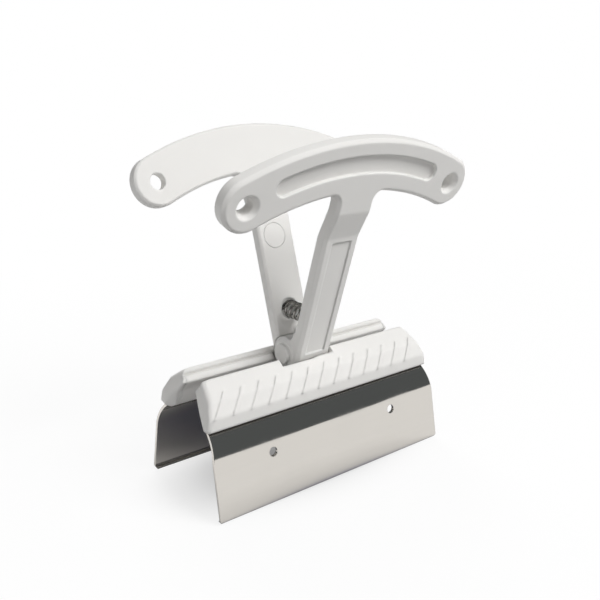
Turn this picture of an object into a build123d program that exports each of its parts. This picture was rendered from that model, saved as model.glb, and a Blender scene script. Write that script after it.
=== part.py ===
"""Wide keycap puller: two crossed levers on one pivot, each with a T handle and a jaw with a steel plate.

Millimetres, +Z up, X along the jaws, -Y towards the viewer. The origin is on the table under the pivot.
"""
import os
from math import cos, radians, sin, sqrt, tan

from build123d import *

# Pivot: two half-width knuckles side by side on one hidden pin
pivot_height = 31.95
knuckle_radius = 4.65
knuckle_half = 6.2
knuckle_edge = 0.9
boss_radius = 2.9
boss_half = 7.1
side_gap = 0.15
wrap_gap = 0.3
pin_radius = 1.5
pin_half = 5.4
pin_clearance = 0.03
bore_half = 5.6
web_half = 5.0
web_inset = 0.2
web_root = (6.1, 31.35)
web_chin = (4.7, 29.05)
cut_reach = 7.0

# Stem: a leaning strap with one outward step below the handle
lean = 17.7
stem_half = 5.7
stem_reach = 5.7
stem_depth = 3.7
stem_foot = 1.05
step_low = 66.2
step_high = 72.9
inner_step_low = 67.0
inner_step_high = 74.4
step_round = 4.0
outer_edge = 0.8
inner_edge = 0.6
heel_round = 2.2
heel = (-3.2, 29.1)
waist_top = 38.95
waist_overlap = 1.5
panel_width = 6.3
panel_length = 33.8
panel_middle = 48.85
panel_depth = 0.35

# Handle: an arched bar with round ends, a long groove and a tapered hole at each end
handle_line = (22.1, 77.7)
bar_radius = 75.0
bar_apex = 7.0
bar_half = 6.6
bar_reach = 31.5
bar_depth = 3.8
bar_throat = 2.4
groove_radius = 72.0
groove_apex = 7.4
groove_width = 4.6
groove_reach = 22.7
groove_depth = 1.0
hole_reach = 31.8
hole_rise = -0.1
hole_radius = 2.15
hole_mouth = 3.0
hole_taper = 70.0

# Jaw: a hood on the lever and an inner strip, with the plate between them
hood_top = (4.9, 32.85)
hood_brow = (10.2, 29.15)
hood_cheek = (12.3, 25.55)
hood_hem = (12.3, 22.15)
seam_top = (4.1, 31.45)
seam_bend = (8.0, 27.7)
seam_foot = (9.95, 22.15)
strip_knee = (3.0, 29.75)
strip_back = (5.2, 26.85)
strip_toe = (7.7, 22.05)
strip_heel = (8.8, 21.45)
strip_half = 34.6
seam_groove = 0.7
jaw_half_top = 34.4
jaw_half = 37.7
jaw_side_height = 23.95
jaw_side_round = 20.0
jaw_top_round = 2.0
jaw_rim = 0.6
jaw_bevel = 2.2
hem_round = 0.8
hood_depth = 3.0
notch_half = 11.3
notch_depth = 2.3
stop_half = 6.0
stop_reach = 6.5
stop_drop = 0.95
stop_gap = 0.15
strip_notch = 7.0

# Grip ribs: a row of slanted ribs across the face of each hood
rib_count = 13
rib_pitch = 5.35
rib_shift = 1.0
rib_slant = 5.2
rib_high = (8.4, 30.4)
rib_low = (12.3, 25.3)
rib_width_high = 1.1
rib_width_low = 0.8
rib_height = 0.2
rib_root = 0.4

# Plate: folded steel with a shoulder at the top and a hooked lip along the bottom
plate_half = 38.0
plate_half_fold = 37.85
plate_half_hem = 36.8
flange_half = 34.0
flange_root = 0.5
plate_thickness = 0.8
plate_lean = 10.6
plate_foot = 17.7
fold_height = 15.3
shoulder_radius = 10.5
shoulder_turn = 42.92
neck_radius = 1.2
neck_turn = 33.62
flange_length = 4.9
lip_radius = 1.2
lip_length = 0.4
plate_corner = 1.8
plate_corner_drop = 0.5
plate_hole_reach = 20.6
plate_hole_height = 13.45
plate_hole_radius = 1.2

# Return spring between the two stems
spring_height = 42.4
spring_radius = 2.1
wire_radius = 0.35
spring_turns = 7.5
spring_steps = 72
spring_half = 6.0
wire_sides = 4
pocket_radius = 2.75
pocket_floor = 6.4

slope = tan(radians(lean))
lean_cos = cos(radians(lean))
lean_sin = sin(radians(lean))
pivot_plane = Plane(origin=(0, 0, pivot_height), x_dir=(0, 1, 0), z_dir=(1, 0, 0))


def outer_face(height):
    """Return y on the front stem's outer face at a height."""
    return -(stem_reach + (height - pivot_height) * slope)


def handle_face(height):
    """Return y on the front handle's outer face at a height."""
    return -(handle_line[0] + (height - handle_line[1]) * slope)


# One jaw plate, drawn for the rear jaw as a bent strip seen from the end
flat_down = (sin(radians(plate_lean)), -cos(radians(plate_lean)))
fold_point = (plate_foot - fold_height * tan(radians(plate_lean)), fold_height)
lip_start_height = lip_radius * (1 + flat_down[0])
lip_start = (plate_foot - lip_start_height * tan(radians(plate_lean)), lip_start_height)

with BuildPart() as rear_plate:
    with BuildSketch(Plane.YZ.offset(-plate_half)):
        with BuildLine():
            flat = Line(lip_start, fold_point)
            shoulder = JernArc(flat @ 1, flat % 1, shoulder_radius, shoulder_turn)
            neck = JernArc(shoulder @ 1, shoulder % 1, neck_radius, -neck_turn)
            flange = PolarLine(neck @ 1, flange_length, direction=neck % 1)
            lip = JernArc(flat @ 0, flat_down, lip_radius, plate_lean - 90)
            PolarLine(lip @ 1, lip_length, direction=lip % 1)
            offset(amount=plate_thickness, side=Side.LEFT)
        make_face()
    extrude(amount=2 * plate_half)
    with BuildSketch(Plane.XZ) as plate_view:
        with BuildLine():
            Polyline(
                (-plate_half, -plate_corner_drop),
                (-plate_half_fold, fold_height),
                (-plate_half_hem, seam_foot[1]),
                (-flange_half, seam_foot[1] + flange_root),
                (-flange_half, pivot_height),
                (flange_half, pivot_height),
                (flange_half, seam_foot[1] + flange_root),
                (plate_half_hem, seam_foot[1]),
                (plate_half_fold, fold_height),
                (plate_half, -plate_corner_drop),
                close=True,
            )
        make_face()
        fillet(plate_view.vertices().group_by(Axis.Y)[0], plate_corner)
    extrude(amount=-plate_half, mode=Mode.INTERSECT)
    with BuildSketch(Plane.XZ):
        with Locations((-plate_hole_reach, plate_hole_height), (plate_hole_reach, plate_hole_height)):
            Circle(plate_hole_radius)
    extrude(amount=-plate_half, mode=Mode.SUBTRACT)

# Handle and stem of the front lever: a side profile cut to the T outline seen square to the bar
bar_plane = Plane(
    origin=(0, -handle_line[0], handle_line[1]), x_dir=(1, 0, 0), z_dir=(0, -lean_cos, -lean_sin)
)
bar_inward = Axis(bar_plane.origin, -bar_plane.z_dir)
bar_top = bar_apex + 2 * bar_half
bar_end_rise = bar_apex - bar_radius + sqrt(bar_radius**2 - bar_reach**2)
bar_arc = Edge.make_three_point_arc((-bar_reach, bar_end_rise), (0, bar_apex), (bar_reach, bar_end_rise))
groove_end_rise = groove_apex - groove_radius + sqrt(groove_radius**2 - groove_reach**2)
groove_arc = Edge.make_three_point_arc(
    (-groove_reach, groove_end_rise), (0, groove_apex), (groove_reach, groove_end_rise)
)
top_height = handle_line[1] + bar_top
foot_height = pivot_height - stem_foot
foot_out = (outer_face(foot_height), foot_height)
foot_in = (outer_face(pivot_height) + stem_depth / lean_cos, pivot_height)
step_out_low = (outer_face(step_low), step_low)
step_out_high = (handle_face(step_high), step_high)
step_in_low = (outer_face(inner_step_low) + stem_depth / lean_cos, inner_step_low)
step_in_high = (handle_face(inner_step_high) + bar_depth / lean_cos, inner_step_high)
top_out = (handle_face(top_height), top_height)
top_in = (top_out[0] + bar_depth * lean_cos, top_out[1] + bar_depth * lean_sin)

with BuildPart() as handle:
    with BuildSketch(Plane.YZ) as side_view:
        with BuildLine():
            Polyline(
                heel,
                foot_out,
                step_out_low,
                step_out_high,
                top_out,
                top_in,
                step_in_high,
                step_in_low,
                foot_in,
                close=True,
            )
        make_face()
        bends = side_view.vertices().filter_by_position(Axis.Y, step_low - 1, inner_step_high + 1)
        fillet(bends, step_round)
    extrude(amount=stem_half + 2 * bar_throat, both=True)
    with BuildSketch(bar_plane) as front_view:
        SlotArc(bar_arc, 2 * bar_half)
        Rectangle(2 * stem_half, top_height, align=(Align.CENTER, Align.MAX))
        with Locations((0, bar_apex / 2)):
            Rectangle(2 * stem_half, bar_apex)
        fillet(front_view.vertices().filter_by_position(Axis.Y, -bar_half, bar_half / 2), bar_throat)
    extrude(amount=top_height, both=True, mode=Mode.INTERSECT)
    with BuildSketch(bar_plane):
        SlotArc(bar_arc, 2 * bar_half)
    extrude(amount=-bar_depth)
    rims = handle.edges().filter_by(Axis.X, reverse=True).filter_by(bar_inward, reverse=True)
    rims = rims.filter_by_position(Axis.Z, pivot_height, 2 * top_height)
    chamfer(rims.filter_by_position(bar_inward, bar_depth - inner_edge, 2 * bar_depth), inner_edge)
    rims = handle.edges().filter_by(Axis.X, reverse=True).filter_by(bar_inward, reverse=True)
    rims = rims.filter_by_position(Axis.Z, pivot_height, 2 * top_height)
    chamfer(rims.filter_by_position(bar_inward, -outer_edge, bar_depth - 2 * inner_edge), outer_edge)

# Rear jaw: one block with softened ends, parted along the seam into the lever's hood and a clamp strip
hood_run = (hood_brow[0] - hood_top[0], hood_brow[1] - hood_top[1])
hood_run_length = sqrt(hood_run[0] ** 2 + hood_run[1] ** 2)
hood_normal = (0, -hood_run[1] / hood_run_length, hood_run[0] / hood_run_length)
brow_plane = Plane(origin=(0, hood_top[0], hood_top[1]), x_dir=(1, 0, 0), z_dir=hood_normal)
jaw_end_plane = Plane.YZ.offset(-jaw_half)
bevel_plane = Plane(
    origin=(0, *strip_knee),
    x_dir=(1, 0, 0),
    z_dir=(0, strip_toe[0] - strip_knee[0], strip_toe[1] - strip_knee[1]),
)
jaw_crown = hood_top[1] + seam_groove / 10
stop_height = pivot_height - stop_drop
jaw_outward = Axis((0, *strip_back), (0, hood_brow[0] - strip_back[0], hood_brow[1] - strip_back[1]))

with BuildPart() as jaw_block:
    with BuildSketch(jaw_end_plane) as jaw_section:
        Polygon(
            hood_top,
            hood_brow,
            hood_cheek,
            hood_hem,
            strip_heel,
            strip_toe,
            strip_back,
            strip_knee,
            align=None,
        )
        fillet(jaw_section.vertices().sort_by_distance(hood_hem)[0], hem_round)
    extrude(amount=2 * jaw_half)
    with BuildSketch(Plane.XZ) as jaw_view:
        Polygon(
            (-jaw_half, 0),
            (-jaw_half, jaw_side_height),
            (-jaw_half_top, jaw_crown),
            (jaw_half_top, jaw_crown),
            (jaw_half, jaw_side_height),
            (jaw_half, 0),
            align=None,
        )
        fillet(jaw_view.vertices().group_by(Axis.Y)[2], jaw_top_round)
        fillet(jaw_view.vertices().group_by(Axis.Y)[1], jaw_side_round)
    extrude(amount=-2 * jaw_half, mode=Mode.INTERSECT)
    rims = jaw_block.edges().filter_by(Axis.X, reverse=True).filter_by(Axis.Y, reverse=True)
    chamfer(rims.filter_by_position(jaw_outward, hood_depth, jaw_half), jaw_rim)
    with BuildSketch(bevel_plane):
        Polygon(
            (jaw_bevel - jaw_half, jaw_half),
            (jaw_bevel - jaw_half, 0),
            (-jaw_half, -jaw_bevel),
            (-jaw_half, -jaw_half),
            (jaw_half, -jaw_half),
            (jaw_half, -jaw_bevel),
            (jaw_half - jaw_bevel, 0),
            (jaw_half - jaw_bevel, jaw_half),
            align=None,
        )
    extrude(amount=jaw_half, both=True, mode=Mode.INTERSECT)
    with BuildSketch(jaw_end_plane):
        with Locations(seam_top):
            Rectangle(seam_groove, seam_groove)
    extrude(amount=2 * jaw_half, mode=Mode.SUBTRACT)
    add(rear_plate.part, mode=Mode.SUBTRACT)

with BuildSketch(Plane.YZ.offset(-strip_half)) as strip_side:
    Polygon(
        seam_top,
        seam_bend,
        seam_foot,
        (seam_foot[0], 0),
        (-jaw_half, 0),
        (-jaw_half, 2 * pivot_height),
        (seam_top[0] - seam_groove, 2 * pivot_height),
        (seam_top[0] - seam_groove, seam_top[1] + seam_groove),
        align=None,
    )

with BuildPart() as hood:
    add(jaw_block.part)
    extrude(strip_side.sketch, amount=2 * strip_half, mode=Mode.SUBTRACT)

with BuildPart() as rear_clamp_strip:
    add(jaw_block.part)
    extrude(strip_side.sketch, amount=2 * strip_half, mode=Mode.INTERSECT)
    with BuildSketch(brow_plane):
        with Locations((-strip_notch, notch_depth + stop_gap)):
            Rectangle(strip_notch + notch_half, cut_reach, align=(Align.MIN, Align.MAX))
    extrude(amount=2 * cut_reach, both=True, mode=Mode.SUBTRACT)

# The ribs stand on the rear hood: slanted bars cut to a skin just outside the jaw's section
rib_run = (rib_low[0] - rib_high[0], rib_low[1] - rib_high[1])
rib_half_length = sqrt(rib_run[0] ** 2 + rib_run[1] ** 2) / 2
rib_normal = (0, -rib_run[1], rib_run[0])
rib_middle = (0, (rib_high[0] + rib_low[0]) / 2, (rib_high[1] + rib_low[1]) / 2)
rib_plane = Plane(origin=rib_middle, x_dir=(1, 0, 0), z_dir=rib_normal).offset(-rib_root)

with BuildPart() as ribs:
    with BuildSketch(rib_plane):
        with Locations((rib_shift, 0)):
            with GridLocations(rib_pitch, rib_pitch, rib_count, 1):
                Polygon(
                    (-(rib_slant + rib_width_high) / 2, -rib_half_length),
                    ((rib_width_high - rib_slant) / 2, -rib_half_length),
                    ((rib_slant + rib_width_low) / 2, rib_half_length),
                    ((rib_slant - rib_width_low) / 2, rib_half_length),
                    align=None,
                )
    extrude(amount=hood_depth)
    with BuildSketch(jaw_end_plane):
        add(jaw_section.sketch_local)
        offset(amount=rib_height, kind=Kind.INTERSECTION)
    extrude(amount=2 * jaw_half, mode=Mode.INTERSECT)

# One knuckle of the pivot, with a low boss on its end
with BuildPart() as knuckle:
    with BuildSketch(pivot_plane.offset(-knuckle_half)):
        Circle(knuckle_radius)
    extrude(amount=knuckle_half - side_gap)
    chamfer(knuckle.edges().sort_by(Axis.X)[0], knuckle_edge)
    with BuildSketch(pivot_plane.offset(-boss_half)):
        Circle(boss_radius)
    extrude(amount=boss_half - side_gap)

# Front lever: the front handle and the rear jaw's hood, joined through the left half of the pivot
stem_in_low = (outer_face(waist_top) + stem_depth / lean_cos, waist_top)
stem_plane = Plane(
    origin=(0, outer_face(panel_middle), panel_middle), x_dir=(1, 0, 0), z_dir=(0, -lean_cos, -lean_sin)
)
pocket_plane = Plane(origin=(0, -pocket_floor, spring_height), x_dir=(1, 0, 0), z_dir=(0, 1, 0))

with BuildPart() as front_lever:
    add(hood.part)
    add(ribs.part)
    with BuildSketch(pivot_plane.offset(-web_half)):
        Polygon(
            (0, 0),
            (0, knuckle_radius - web_inset),
            (hood_top[0], hood_top[1] - pivot_height - web_inset),
            (web_root[0], web_root[1] - pivot_height),
            (web_chin[0], web_chin[1] - pivot_height),
            (0, web_inset - knuckle_radius),
            align=None,
        )
    extrude(amount=web_half - side_gap)
    with BuildSketch(brow_plane):
        with Locations((-side_gap, notch_depth)):
            Rectangle(notch_half + side_gap, cut_reach, align=(Align.MIN, Align.MAX))
    extrude(amount=cut_reach, both=True, mode=Mode.SUBTRACT)
    with Locations((-stop_half, 0, stop_height - stop_gap)):
        Box(stop_half, stop_reach, cut_reach, align=Align.MIN, mode=Mode.SUBTRACT)
    add(handle.part)
    add(knuckle.part)
    with BuildSketch(Plane.YZ.offset(-stem_half)) as waist:
        with Locations((0, pivot_height)):
            Circle(knuckle_radius)
        Polygon(
            foot_in,
            (foot_in[0] - waist_overlap, foot_in[1]),
            (stem_in_low[0] - waist_overlap, waist_top),
            stem_in_low,
            align=None,
        )
        corners = waist.vertices().filter_by_position(Axis.Y, pivot_height + 1, waist_top - 1)
        fillet(corners.sort_by(Axis.X)[-1], heel_round)
    extrude(amount=stem_half - side_gap)
    with BuildSketch(pivot_plane.offset(-side_gap)):
        Circle(knuckle_radius + wrap_gap)
    extrude(amount=2 * cut_reach, mode=Mode.SUBTRACT)
    with Locations((-side_gap, -cut_reach, stop_height + stop_gap)):
        Box(cut_reach, cut_reach, cut_reach, align=(Align.MIN, Align.MIN, Align.MAX), mode=Mode.SUBTRACT)
    with BuildSketch(pivot_plane.offset(-bore_half)):
        Circle(pin_radius + pin_clearance)
    extrude(amount=bore_half, mode=Mode.SUBTRACT)
    with BuildSketch(pocket_plane):
        Circle(pocket_radius)
    extrude(amount=pocket_floor, mode=Mode.SUBTRACT)
    with BuildSketch(stem_plane):
        Rectangle(panel_width, panel_length)
    extrude(amount=-panel_depth, mode=Mode.SUBTRACT)
    with BuildSketch(bar_plane):
        SlotArc(groove_arc, groove_width)
    extrude(amount=-groove_depth, mode=Mode.SUBTRACT)
    with Locations(bar_plane):
        with Locations((-hole_reach, hole_rise), (hole_reach, hole_rise)):
            CounterSinkHole(hole_radius, hole_mouth, depth=2 * bar_depth, counter_sink_angle=hole_taper)

# The rear lever and the front jaw are the same pieces turned half round
with BuildPart() as rear_lever:
    add(front_lever.part.rotate(Axis.Z, 180))

with BuildPart() as front_plate:
    add(rear_plate.part.rotate(Axis.Z, 180))

with BuildPart() as front_clamp_strip:
    add(rear_clamp_strip.part.rotate(Axis.Z, 180))

with BuildPart() as pivot_pin:
    with BuildSketch(pivot_plane.offset(-pin_half)):
        Circle(pin_radius)
    extrude(amount=2 * pin_half)

with BuildLine() as coil:
    Helix(
        pitch=2 * spring_half / spring_turns,
        height=2 * spring_half,
        radius=spring_radius,
        center=(0, -spring_half, spring_height),
        direction=(0, 1, 0),
    )

with BuildPart() as return_spring:
    for step in range(spring_steps + 1):
        point = coil.line @ (step / spring_steps)
        with BuildSketch(Plane(origin=point, x_dir=(0, 1, 0), z_dir=coil.line % (step / spring_steps))):
            RegularPolygon(wire_radius, wire_sides)
    loft(ruled=True)

os.makedirs("parts", exist_ok=True)

front_lever.part.label = "front_lever"
export_step(front_lever.part, "parts/front_lever.step")
rear_lever.part.label = "rear_lever"
export_step(rear_lever.part, "parts/rear_lever.step")
front_plate.part.label = "front_plate"
export_step(front_plate.part, "parts/front_plate.step")
rear_plate.part.label = "rear_plate"
export_step(rear_plate.part, "parts/rear_plate.step")
front_clamp_strip.part.label = "front_clamp_strip"
export_step(front_clamp_strip.part, "parts/front_clamp_strip.step")
rear_clamp_strip.part.label = "rear_clamp_strip"
export_step(rear_clamp_strip.part, "parts/rear_clamp_strip.step")
pivot_pin.part.label = "pivot_pin"
export_step(pivot_pin.part, "parts/pivot_pin.step")
return_spring.part.label = "return_spring"
export_step(return_spring.part, "parts/return_spring.step")
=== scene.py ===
import math

import bpy
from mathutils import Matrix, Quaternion, Vector


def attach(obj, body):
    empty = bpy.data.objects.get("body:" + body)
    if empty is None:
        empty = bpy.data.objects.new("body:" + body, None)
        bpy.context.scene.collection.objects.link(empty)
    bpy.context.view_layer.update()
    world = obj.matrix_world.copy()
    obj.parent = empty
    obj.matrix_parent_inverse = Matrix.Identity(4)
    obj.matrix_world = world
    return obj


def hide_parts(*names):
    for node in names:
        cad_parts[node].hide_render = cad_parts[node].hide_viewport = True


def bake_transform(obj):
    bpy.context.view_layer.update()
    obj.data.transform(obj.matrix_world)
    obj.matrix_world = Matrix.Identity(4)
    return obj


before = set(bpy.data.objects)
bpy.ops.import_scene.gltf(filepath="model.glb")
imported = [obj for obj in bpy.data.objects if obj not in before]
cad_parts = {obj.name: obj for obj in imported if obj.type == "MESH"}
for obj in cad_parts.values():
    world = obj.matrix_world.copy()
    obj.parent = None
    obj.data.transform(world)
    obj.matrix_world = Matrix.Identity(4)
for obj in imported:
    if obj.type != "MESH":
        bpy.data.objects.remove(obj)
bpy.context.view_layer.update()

# Sizes are in metres, as the frame's are.
MM = 0.001

# The stems' inner faces lean apart upwards. At the pivot's height they are this far off the middle.
PIVOT_HEIGHT = 31.95 * MM
STEM_LEAN = math.radians(17.7)
STEM_FACE = 1.816 * MM

# The jaws' ribbed hoods lie between these heights. Their edges are rounder than all the others.
HOOD_TOP = 31.0 * MM
HOOD_FOOT = 24.2 * MM
HOOD_BLEND = 1.0 * MM
HOOD_ROUNDING = 1.7 * MM
STEM_ROUNDING = 0.7 * MM

# White plastic. A scale is about how many blots of a pattern fit in a metre, and contrast and cut
# pick out the stronger blots. Dust with painted shade in the corners, and rubbing with a painted
# highlight on every edge, are shares of their colours, and what roughens or smooths is added to
# the roughness or taken off it.
PLASTIC_COLOURS = (0.830, 0.818, 0.792, 1.0), (0.860, 0.849, 0.827, 1.0)
DUST_AND_SHADE_COLOUR = (0.55, 0.54, 0.51, 1.0)
RUBBED_AND_HIGHLIGHT_COLOUR = (0.94, 0.935, 0.92, 1.0)
CLOUD_SCALE = 55.0
GRAIN_SCALE = 2200.0
GRAIN_DEPTH = 0.05 * MM
GRAIN_STRENGTH = 0.10
SCUFF_SCALE = 260.0
SCUFF_PATCHES = {"contrast": 3.0, "cut": 0.9}
PLASTIC_EDGE_GAIN = 5.0
DUST_AND_SHADE_REACH = 2.5 * MM
EVEN_DUST_AND_SHADE, PATCHY_DUST_AND_SHADE = 0.10, 0.20
EDGE_HIGHLIGHT, PATCHY_RUBBING = 0.45, 0.35
PLASTIC_ROUGHNESS = 0.36
CLOUD_ROUGHENS, GRAIN_ROUGHENS, DUST_ROUGHENS = 0.12, 0.06, 0.10
RUBBING_SMOOTHS = 0.08
PLASTIC_IOR = 1.46

# Steel sheet, pin and wire. The shades multiply each steel's own tone, and oil with painted shade
# starts to show where less than the whole sky is open, next to other pieces too.
OIL_AND_SHADE_COLOUR = (0.012, 0.011, 0.010, 1.0)
DULL_SHADE, BRIGHT_SHADE, WORN_SHADE = 0.98, 1.02, 1.18
LINE_SCALE = 900.0
LINE_DEPTH = 0.02 * MM
SMEAR_SCALE = 70.0
SMEAR_PATCHES = {"contrast": 2.6, "cut": 1.1}
SPECK_SCALE = 700.0
SPECK_PATCHES = {"contrast": 2.5, "cut": 0.6}
SWELL_SCALE = 40.0
SWELL_DEPTH = 0.4 * MM
STEEL_ROUNDING = 0.25 * MM
STEEL_EDGE_GAIN = 6.0
WORN_SHARE = 0.6
OIL_AND_SHADE_REACH = 1.0 * MM
OIL_AND_SHADE_START, OIL_AND_SHADE_GAIN = 2.8, 3.0
LINES_ROUGHEN, SMEARS_ROUGHEN, WEAR_ROUGHENS = 0.05, 0.10, 0.12

# The coil spring lies across the two stems, its ends in their pockets.
SPRING_HEIGHT = 42.4 * MM
SPRING_LENGTH = 12.0 * MM
SPRING_RADIUS = 2.1 * MM
SPRING_WIRE = 0.38 * MM
SPRING_TURNS = 6.5
SPRING_CLOSED_TURNS = 0.6
STEPS_PER_TURN = 40
WIRE_SIDES = 14

# A round mould mark on the inner face of each stem.
MARK_ACROSS = -0.6 * MM
MARK_HEIGHT = 62.2 * MM
MARK_RADIUS = 3.5 * MM
MARK_RIDGE = 0.07 * MM
MARK_SIDES = 72
RIDGE_SIDES = 8

# A swept wire's sides have this many corners to a face and are smooth. Its cut ends are flat.
SIDE_CORNERS = 4

# The floor's greys as light bounces off it, as it is looked at, and of the painted shade in the
# middle under the part, to the camera and, cool, in mirrors.
FLOOR_CORNERS = (-3.0, -3.0, 0.0), (3.0, -3.0, 0.0), (3.0, 3.0, 0.0), (-3.0, 3.0, 0.0)
FLOOR_BOUNCE = 0.31, 0.35
FLOOR_SEEN = 0.90, 0.92
FLOOR_PAINTED_SHADE = 0.45
FLOOR_MIRRORED_PAINTED_SHADE = (0.35, 0.36, 0.45, 1.0)
MOTTLE_SCALE = 3.0

# The painted shade under the part is longer than it is deep. It thins out between the two
# distances of a reach, and the floor's own white comes through as it does.
SHADE_STRETCH = (0.55, 1.0, 1.0)
PAINTED_SHADE_REACH = 2 * MM, 26 * MM
MIRRORED_PAINTED_SHADE_REACH = 10 * MM, 30 * MM
NEAR_REACH = 2 * MM, 30 * MM
FAR_REACH = 50 * MM, 250 * MM
MIRRORED_REACH = 18 * MM, 48 * MM
WHITE_UNDER, WHITE_NEAR, WHITE_FAR = 0.18, 0.72, 0.10

# Dark cards: the front right one's corners, and which way across and along each card is turned.
# The cards glow a dim grey and are seen only in shiny things: a painted dark reflection.
CARD_REFLECTION_COLOURS = (0.098, 0.107, 0.111, 1.0), (0.110, 0.119, 0.123, 1.0)
NAP_SCALE = 40.0
CARD_CORNERS = (-0.3, -0.75, 0.02), (1.0, -0.30, 0.02), (0.55, 0.45, 1.00), (-0.1, 0.00, 1.00)
CARDS = (
    ("front_right_card", 1, 1),
    ("front_left_card", -1, 1),
    ("back_left_card", -1, -1),
    ("back_right_card", 1, -1),
)

# The room's light on the part, its white as it is looked at, and each lamp's place, size and power.
ROOM_LIGHT = 0.25
ROOM_WHITE = 1.0
LAMP_AIM = Vector((0.0, 0.0, 0.04))
LAMPS = (
    ("key_lamp", (0.32, -0.59, 0.73), 0.5, 7.9),
    ("left_fill", (-0.70, -0.10, 0.12), 0.4, 1.1),
    ("back_fill", (0.25, 0.80, 0.34), 0.5, 4.5),
)

# The photograph's view: where the camera stands and which way it looks.
CAMERA_PLACE = Vector((-0.11869, -0.15163, 0.10522))
CAMERA_LOOK = Vector((0.58765, 0.75394, -0.29365))
CAMERA_ROLL = math.radians(0.26)
CAMERA_LENS = 44.44
CAMERA_SENSOR = 36.0
CAMERA_NEAR = 0.005


class Value:
    """A socket that takes part in sums: each operator adds the Math node that works it out."""

    def __init__(self, sheet, socket):
        self.sheet = sheet
        self.socket = socket

    def math(self, operation, left, right):
        return self.sheet.node("ShaderNodeMath", {0: left, 1: right}, operation=operation)

    def __add__(self, other):
        return self.math("ADD", self, other)

    def __radd__(self, other):
        return self.math("ADD", other, self)

    def __sub__(self, other):
        return self.math("SUBTRACT", self, other)

    def __rsub__(self, other):
        return self.math("SUBTRACT", other, self)

    def __mul__(self, other):
        return self.math("MULTIPLY", self, other)

    def __rmul__(self, other):
        return self.math("MULTIPLY", other, self)

    def __truediv__(self, other):
        return self.math("DIVIDE", self, other)

    def __rtruediv__(self, other):
        return self.math("DIVIDE", other, self)


class Sheet:
    """A node tree being drawn up."""

    # A Mix node's two inputs and its result, for each kind of data.
    MIX_SOCKETS = {"VECTOR": (4, 5, 1), "RGBA": (6, 7, 2)}

    def __init__(self, tree):
        self.tree = tree

    def node(self, kind, sockets=None, output=0, **settings):
        """Adds one node: its settings first, then a value or a link for each socket named."""
        node = self.tree.nodes.new(kind)
        for name, value in settings.items():
            setattr(node, name, value)
        for name, value in (sockets or {}).items():
            if isinstance(value, Value):
                self.tree.links.new(value.socket, node.inputs[name])
            else:
                node.inputs[name].default_value = value
        return Value(self, node.outputs[output]) if node.outputs else None

    def mix(self, factor, first, second, kind="RGBA"):
        """A colour, or a vector, between two."""
        start, end, result = self.MIX_SOCKETS[kind]
        sockets = {0: factor, start: first, end: second}
        return self.node("ShaderNodeMix", sockets, result, data_type=kind)

    def clamp(self, value):
        """The value, held between 0 and 1."""
        return self.node("ShaderNodeClamp", {"Value": value})

    def grow(self, value, start, end, top=1.0, **settings):
        """Goes from 0 to its top while the value goes from start to end."""
        limits = {"Value": value, "From Min": start, "From Max": end, "To Max": top}
        return self.node("ShaderNodeMapRange", limits, **settings)

    def ray(self, kind):
        """1 for light rays of a kind and 0 for others."""
        return self.node("ShaderNodeLightPath", output="Is " + kind + " Ray")

    def mirrored(self):
        """1 for what is seen in shiny or clear things and 0 otherwise."""
        return self.clamp(self.ray("Glossy") + self.ray("Transmission"))


class Finish(Sheet):
    """A material being drawn up, with patterns laid out by the place on the piece."""

    def __init__(self, name):
        self.material = bpy.data.materials.new(name)
        self.material.use_nodes = True
        self.material.node_tree.nodes.clear()
        super().__init__(self.material.node_tree)
        self.place = self.node("ShaderNodeTexCoord", output="Object")

    def noise(self, place, scale, **sockets):
        """A cloudy pattern."""
        return self.node("ShaderNodeTexNoise", {"Vector": place, "Scale": scale, **sockets})

    def patches(self, pattern, contrast, cut):
        """The stronger blots of a pattern."""
        return self.clamp(pattern * contrast - cut)

    def turned(self, rounded, gain):
        """Where a rounded edge turns away from the flat face: 0 on the flat."""
        facing = self.node("ShaderNodeNewGeometry", output="Normal")
        pair = {0: rounded, 1: facing}
        agree = self.node("ShaderNodeVectorMath", pair, "Value", operation="DOT_PRODUCT")
        return self.clamp((1.0 - agree) * gain)

    def open_sky(self, reach, only_local):
        """1 in the open and less in corners and gaps, of the piece alone or of all the pieces."""
        sockets = {"Distance": reach}
        settings = {"samples": 8, "only_local": only_local}
        return self.node("ShaderNodeAmbientOcclusion", sockets, "AO", **settings)

    def close(self, surface):
        """Ends the finish in its surface."""
        self.node("ShaderNodeOutputMaterial", {"Surface": surface})
        return self.material


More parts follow.
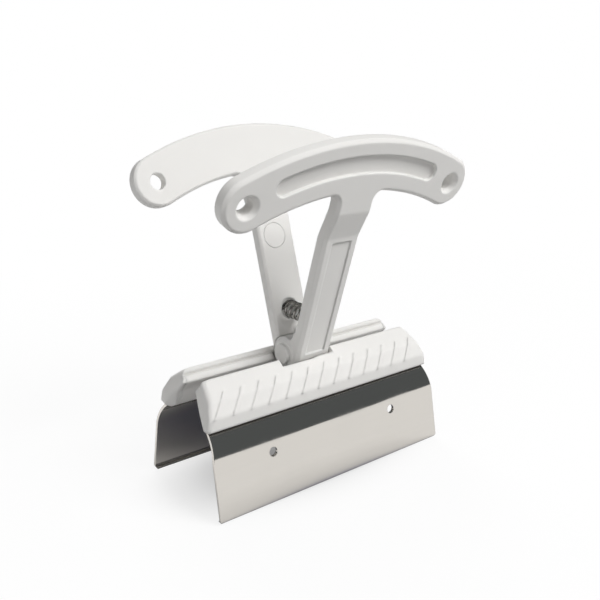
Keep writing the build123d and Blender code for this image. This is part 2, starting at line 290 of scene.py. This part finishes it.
class Shape(Sheet):
    """A geometry tree with named inputs, from which pieces are made."""

    def __init__(self, name, inputs):
        super().__init__(bpy.data.node_groups.new(name, "GeometryNodeTree"))
        self.tree.interface.new_socket("Piece", in_out="OUTPUT", socket_type="NodeSocketGeometry")
        self.identifiers = {}
        for label, kind in {**inputs, "Finish": "Material"}.items():
            socket = self.tree.interface.new_socket(
                label, in_out="INPUT", socket_type="NodeSocket" + kind
            )
            self.identifiers[label] = socket.identifier

    def given(self, label):
        """One of the named inputs."""
        return self.node("NodeGroupInput", output=label)

    def ring(self, sides, radius):
        """A closed ring, from the inputs with its number of sides and its radius."""
        sockets = {"Resolution": self.given(sides), "Radius": self.given(radius)}
        return self.node("GeometryNodeCurvePrimitiveCircle", sockets)

    def close(self, mesh):
        """Ends the tree in a mesh of its own that has its finish."""
        solid = self.node("GeometryNodeRealizeInstances", {"Geometry": mesh})
        sockets = {"Geometry": solid, "Material": self.given("Finish")}
        self.node("NodeGroupOutput", {"Piece": self.node("GeometryNodeSetMaterial", sockets)})
        return self

    def make(self, name, finish, sizes):
        """Runs the tree with its inputs and keeps the result as a plain mesh object."""
        carrier = add_object(name + "_tree", bpy.data.meshes.new(name + "_tree"))
        modifier = carrier.modifiers.new("shape", "NODES")
        modifier.node_group = self.tree
        for label, value in {**sizes, "Finish": finish}.items():
            modifier[self.identifiers[label]] = value
        shown = carrier.evaluated_get(bpy.context.evaluated_depsgraph_get())
        mesh = bpy.data.meshes.new_from_object(shown)
        carrier.modifiers.remove(modifier)
        bpy.data.objects.remove(carrier)
        mesh.name = name
        for face in mesh.polygons:
            face.use_smooth = len(face.vertices) == SIDE_CORNERS
        return add_object(name, mesh)


def add_object(name, data):
    """Puts a new object in the scene, at the origin."""
    added = bpy.data.objects.new(name, data)
    bpy.context.scene.collection.objects.link(added)
    return added


def grey(level):
    """A neutral colour."""
    return (level, level, level, 1.0)


def shade(tone, share):
    """A darker or lighter colour of a tone."""
    return tuple(min(1.0, channel * share) for channel in tone) + (1.0,)


def moulded_white():
    """White moulded plastic: fine grain, faint clouding, rubbed edges under a painted highlight,
    and dust with painted shade in the corners.
    """
    finish = Finish("moulded_white")
    cloud = finish.noise(finish.place, CLOUD_SCALE, Detail=3.0)
    grain = finish.noise(finish.place, GRAIN_SCALE, Detail=2.0)
    scuff = finish.noise(finish.place, SCUFF_SCALE, Detail=5.0, Roughness=0.7)

    height = finish.node("ShaderNodeSeparateXYZ", {"Vector": finish.place}, "Z")
    above = finish.clamp((height - HOOD_TOP) / HOOD_BLEND)
    below = finish.clamp((HOOD_FOOT - height) / HOOD_BLEND)
    hood_edge = finish.node("ShaderNodeBevel", {"Radius": HOOD_ROUNDING}, samples=8)
    stem_edge = finish.node("ShaderNodeBevel", {"Radius": STEM_ROUNDING}, samples=8)
    rounded = finish.mix(above + below, hood_edge, stem_edge, "VECTOR")
    turned = finish.turned(rounded, PLASTIC_EDGE_GAIN)
    scuffed = turned * finish.patches(scuff, **SCUFF_PATCHES)
    corner = finish.clamp(1.0 - finish.open_sky(DUST_AND_SHADE_REACH, only_local=True))

    body = finish.mix(cloud, *PLASTIC_COLOURS)
    # Dust and painted shade: the dust colour darkens corners and gaps by how closed in they are,
    # more in patches.
    dusted_and_shaded = finish.mix(corner * (EVEN_DUST_AND_SHADE + PATCHY_DUST_AND_SHADE * scuff), body, DUST_AND_SHADE_COLOUR)
    # Painted highlight: every turned edge is lightened evenly, and rubbed patches more.
    rubbing_and_highlight = EDGE_HIGHLIGHT * turned + PATCHY_RUBBING * scuffed
    roughness = (
        PLASTIC_ROUGHNESS
        + CLOUD_ROUGHENS * cloud
        + GRAIN_ROUGHENS * grain
        - RUBBING_SMOOTHS * scuffed
        + DUST_ROUGHENS * corner
    )
    relief = finish.node(
        "ShaderNodeBump",
        {"Strength": GRAIN_STRENGTH, "Distance": GRAIN_DEPTH, "Height": grain, "Normal": rounded},
    )
    surface = finish.node(
        "ShaderNodeBsdfPrincipled",
        {
            "Base Color": finish.mix(rubbing_and_highlight, dusted_and_shaded, RUBBED_AND_HIGHLIGHT_COLOUR),
            "Roughness": roughness,
            "Normal": relief,
            "IOR": PLASTIC_IOR,
        },
    )
    return finish.close(surface)


def rolled_steel(name, tone, gloss, line_stretch, line_strength, oil_and_shade):
    """Bright steel: lines along the sheet or the wire, handling smears, edges worn lighter and
    duller, and dark oil with painted shade in the gaps and next to other pieces."""
    finish = Finish(name)
    drawn = finish.node("ShaderNodeMapping", {"Vector": finish.place, "Scale": line_stretch})
    lines = finish.noise(drawn, LINE_SCALE, Detail=4.0, Roughness=0.65)
    smear = finish.noise(finish.place, SMEAR_SCALE, Detail=4.0, Distortion=0.6)
    speck = finish.noise(finish.place, SPECK_SCALE, Detail=2.0)
    swell = finish.noise(finish.place, SWELL_SCALE, Detail=1.0)

    rounded = finish.node("ShaderNodeBevel", {"Radius": STEEL_ROUNDING}, samples=4)
    worn = finish.turned(rounded, STEEL_EDGE_GAIN) * finish.patches(speck, **SPECK_PATCHES)
    # Painted shade with oil: the oil colour darkens gaps and the steel close to other pieces.
    gap = finish.clamp(OIL_AND_SHADE_START - OIL_AND_SHADE_GAIN * finish.open_sky(OIL_AND_SHADE_REACH, only_local=False))

    sheen = finish.mix(lines, shade(tone, DULL_SHADE), shade(tone, BRIGHT_SHADE))
    oiled_and_shaded = finish.mix(gap * oil_and_shade, sheen, OIL_AND_SHADE_COLOUR)
    roughness = (
        gloss
        + LINES_ROUGHEN * lines
        + SMEARS_ROUGHEN * finish.patches(smear, **SMEAR_PATCHES)
        + WEAR_ROUGHENS * worn
    )
    wavy = finish.node(
        "ShaderNodeBump", {"Distance": SWELL_DEPTH, "Height": swell, "Normal": rounded}
    )
    relief = finish.node(
        "ShaderNodeBump",
        {"Strength": line_strength, "Distance": LINE_DEPTH, "Height": lines, "Normal": wavy},
    )
    surface = finish.node(
        "ShaderNodeBsdfPrincipled",
        {
            "Base Color": finish.mix(worn * WORN_SHARE, oiled_and_shaded, shade(tone, WORN_SHADE)),
            "Roughness": roughness,
            "Metallic": 1.0,
            "Normal": relief,
        },
    )
    return finish.close(surface)


def dress(names, finish):
    """Gives CAD nodes their finish, on the object's own slots."""
    for name in names:
        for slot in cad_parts[name].material_slots:
            slot.link = "OBJECT"
            slot.material = finish


def spring_shape():
    """The coil: a line wound round the Y axis, its end turns closed up, then given a round wire."""
    shape = Shape(
        "coil_spring",
        {
            "Height": "Float",
            "Length": "Float",
            "Radius": "Float",
            "Wire": "Float",
            "Turns": "Float",
            "Closed turns": "Float",
            "Steps": "Int",
            "Wire sides": "Int",
        },
    )
    length, radius, wire = shape.given("Length"), shape.given("Radius"), shape.given("Wire")
    turns, closed_turns = shape.given("Turns"), shape.given("Closed turns")

    line = shape.node("GeometryNodeCurvePrimitiveLine")
    points = {"Curve": line, "Count": shape.given("Steps")}
    stepped = shape.node("GeometryNodeResampleCurve", points)
    along = shape.node("GeometryNodeSplineParameter")
    closed = closed_turns / turns
    closed_length = 2.0 * wire * closed_turns
    open_length = length - 2.0 * (closed_length + wire)
    travel = (
        shape.grow(along, 0.0, closed, closed_length)
        + shape.grow(along, closed, 1.0 - closed, open_length)
        + shape.grow(along, 1.0 - closed, 1.0, closed_length)
    )
    angle = along * turns * (2.0 * math.pi)
    across = radius * shape.node("ShaderNodeMath", {0: angle}, operation="COSINE")
    upward = radius * shape.node("ShaderNodeMath", {0: angle}, operation="SINE")
    place = shape.node(
        "ShaderNodeCombineXYZ",
        {"X": across, "Y": travel + wire - 0.5 * length, "Z": upward + shape.given("Height")},
    )
    wound = shape.node("GeometryNodeSetPosition", {"Geometry": stepped, "Position": place})
    section = shape.ring("Wire sides", "Wire")
    sweep = {"Curve": wound, "Profile Curve": section, "Fill Caps": True}
    return shape.close(shape.node("GeometryNodeCurveToMesh", sweep))


def wind_spring(finish):
    """The spring in place of the CAD one, between the two levers' pockets."""
    sizes = {
        "Height": SPRING_HEIGHT,
        "Length": SPRING_LENGTH,
        "Radius": SPRING_RADIUS,
        "Wire": SPRING_WIRE,
        "Turns": SPRING_TURNS,
        "Closed turns": SPRING_CLOSED_TURNS,
        "Steps": int(SPRING_TURNS * STEPS_PER_TURN),
        "Wire sides": WIRE_SIDES,
    }
    spring = spring_shape().make("coil_spring", finish, sizes)
    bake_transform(spring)
    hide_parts("return_spring")


def mark_shape():
    """A round mould mark: a fine ridge swept along a ring, then laid on its face."""
    shape = Shape(
        "mould_mark",
        {
            "Radius": "Float",
            "Ridge": "Float",
            "Sides": "Int",
            "Ridge sides": "Int",
            "Place": "Vector",
            "Turn": "Vector",
        },
    )
    ring = shape.ring("Sides", "Radius")
    section = shape.ring("Ridge sides", "Ridge")
    ridge = shape.node("GeometryNodeCurveToMesh", {"Curve": ring, "Profile Curve": section})
    laid = shape.node(
        "GeometryNodeTransform",
        {"Geometry": ridge, "Translation": shape.given("Place"), "Rotation": shape.given("Turn")},
    )
    return shape.close(laid)


def mark_stems(finish):
    """One mark on each stem: the front lever is the rear one turned half round the upright axis."""
    shape = mark_shape()
    depth = STEM_FACE + (MARK_HEIGHT - PIVOT_HEIGHT) * math.tan(STEM_LEAN)
    for end, side in (("rear", 1), ("front", -1)):
        sizes = {
            "Radius": MARK_RADIUS,
            "Ridge": MARK_RIDGE,
            "Sides": MARK_SIDES,
            "Ridge sides": RIDGE_SIDES,
            "Place": (side * MARK_ACROSS, side * depth, MARK_HEIGHT),
            "Turn": (side * (0.5 * math.pi - STEM_LEAN), 0.0, 0.0),
        }
        mark = shape.make(end + "_mould_mark", finish, sizes)
        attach(mark, end + "_lever_body")


def flat_sheet(name, corners, finish):
    """A plain four-cornered sheet of the studio."""
    mesh = bpy.data.meshes.new(name)
    mesh.from_pydata(corners, [], [(0, 1, 2, 3)])
    mesh.materials.append(finish)
    sheet = add_object(name, mesh)
    return sheet


def lay_floor():
    """A pale floor: white to the camera and in mirrors, a plain grey to the light that it bounces
    up, and a soft painted shade under the part, a darker grey to the camera and a cool dark grey
    in mirrors, where the part's own shadow shows too."""
    finish = Finish("pale_floor")
    mottle = finish.noise(finish.place, MOTTLE_SCALE, Detail=2.0)
    bounced = finish.mix(mottle, *map(grey, FLOOR_BOUNCE))
    looked_at = finish.mix(mottle, *map(grey, FLOOR_SEEN))
    drawn_in = finish.node("ShaderNodeMapping", {"Vector": finish.place, "Scale": SHADE_STRETCH})
    away = finish.node("ShaderNodeVectorMath", {0: drawn_in}, "Value", operation="LENGTH")

    def thinning(reach):
        return finish.grow(away, *reach, interpolation_type="SMOOTHSTEP")

    # Painted shade: a darker grey under the part, and a cool darker one seen in mirrors.
    painted_shade = finish.mix(thinning(PAINTED_SHADE_REACH), grey(FLOOR_PAINTED_SHADE), looked_at)
    mirrored_painted_shade = finish.mix(thinning(MIRRORED_PAINTED_SHADE_REACH), FLOOR_MIRRORED_PAINTED_SHADE, looked_at)
    plain = finish.mix(finish.ray("Camera"), bounced, painted_shade)
    colour = finish.mix(finish.mirrored(), plain, mirrored_painted_shade)
    matte = finish.node("ShaderNodeBsdfDiffuse", {"Color": colour})
    glow = finish.node("ShaderNodeEmission", {"Color": grey(1.0)})

    near = WHITE_NEAR * thinning(NEAR_REACH)
    far = WHITE_FAR * thinning(FAR_REACH)
    to_camera = (WHITE_UNDER + near + far) * finish.ray("Camera")
    in_mirrors = thinning(MIRRORED_REACH) * finish.mirrored()
    whiteness = finish.clamp(to_camera + in_mirrors)
    surface = finish.node("ShaderNodeMixShader", {0: whiteness, 1: matte, 2: glow})
    flat_sheet("floor", FLOOR_CORNERS, finish.close(surface))


def hang_dark_cards():
    """Four dark cards round the part that glow a dim grey, seen only in shiny things, where they
    paint a dark reflection so that the steel's bends read.
    """
    finish = Finish("dark_card")
    nap = finish.noise(finish.place, NAP_SCALE)
    surface = finish.node("ShaderNodeEmission", {"Color": finish.mix(nap, *CARD_REFLECTION_COLOURS)})
    dark = finish.close(surface)
    for name, across, along in CARDS:
        corners = [(across * x, along * y, z) for x, y, z in CARD_CORNERS]
        card = flat_sheet(name, corners, dark)
        card.visible_camera = False
        card.visible_diffuse = False
        card.visible_transmission = False
        card.visible_shadow = False


def light_studio():
    """A soft white room: an even surround, a broad lamp high at the front right, a weak one low at
    the left and one behind. Shiny things show the white room and none of the lamps."""
    world = bpy.data.worlds.new("white_room")
    world.use_nodes = True
    world.node_tree.nodes.clear()
    sheet = Sheet(world.node_tree)
    around = sheet.node("ShaderNodeBackground", {"Color": grey(1.0), "Strength": ROOM_LIGHT})
    behind = sheet.node("ShaderNodeBackground", {"Color": grey(1.0), "Strength": ROOM_WHITE})
    looked_at = sheet.clamp(sheet.ray("Camera") + sheet.mirrored())
    surface = sheet.node("ShaderNodeMixShader", {0: looked_at, 1: around, 2: behind})
    sheet.node("ShaderNodeOutputWorld", {"Surface": surface})
    bpy.context.scene.world = world

    for name, place, size, power in LAMPS:
        lamp = bpy.data.lights.new(name, "AREA")
        lamp.shape = "SQUARE"
        lamp.size = size
        lamp.energy = power
        holder = add_object(name, lamp)
        holder.location = place
        aim = LAMP_AIM - Vector(place)
        holder.rotation_euler = aim.to_track_quat("-Z", "Y").to_euler()
        holder.visible_glossy = False


def set_camera():
    """The camera at the photograph's viewing angle."""
    camera = bpy.data.cameras.new("camera")
    camera.lens = CAMERA_LENS
    camera.sensor_width = CAMERA_SENSOR
    camera.clip_start = CAMERA_NEAR
    holder = add_object("camera", camera)
    holder.location = CAMERA_PLACE
    level = CAMERA_LOOK.to_track_quat("-Z", "Y")
    holder.rotation_euler = (level @ Quaternion((0, 0, 1), CAMERA_ROLL)).to_euler()
    bpy.context.scene.camera = holder


white_plastic = moulded_white()
sheet_steel = rolled_steel(
    "polished_sheet_steel",
    tone=(0.66, 0.632, 0.59),
    gloss=0.07,
    line_stretch=(0.03, 1.0, 1.0),
    line_strength=0.015,
    oil_and_shade=0.8,
)
pin_steel = rolled_steel(
    "ground_pin_steel",
    tone=(0.55, 0.55, 0.54),
    gloss=0.22,
    line_stretch=(0.05, 1.0, 1.0),
    line_strength=0.06,
    oil_and_shade=0.0,
)
wire_steel = rolled_steel(
    "drawn_spring_wire",
    tone=(0.32, 0.31, 0.29),
    gloss=0.04,
    line_stretch=(1.0, 1.0, 1.0),
    line_strength=0.05,
    oil_and_shade=1.0,
)

dress(("front_lever", "rear_lever", "front_clamp_strip", "rear_clamp_strip"), white_plastic)
dress(("front_plate", "rear_plate"), sheet_steel)
dress(("pivot_pin",), pin_steel)
dress(("return_spring",), wire_steel)
wind_spring(wire_steel)
mark_stems(white_plastic)

lay_floor()
hang_dark_cards()
light_studio()
set_camera()
bpy.context.scene.view_settings.view_transform = "Standard"
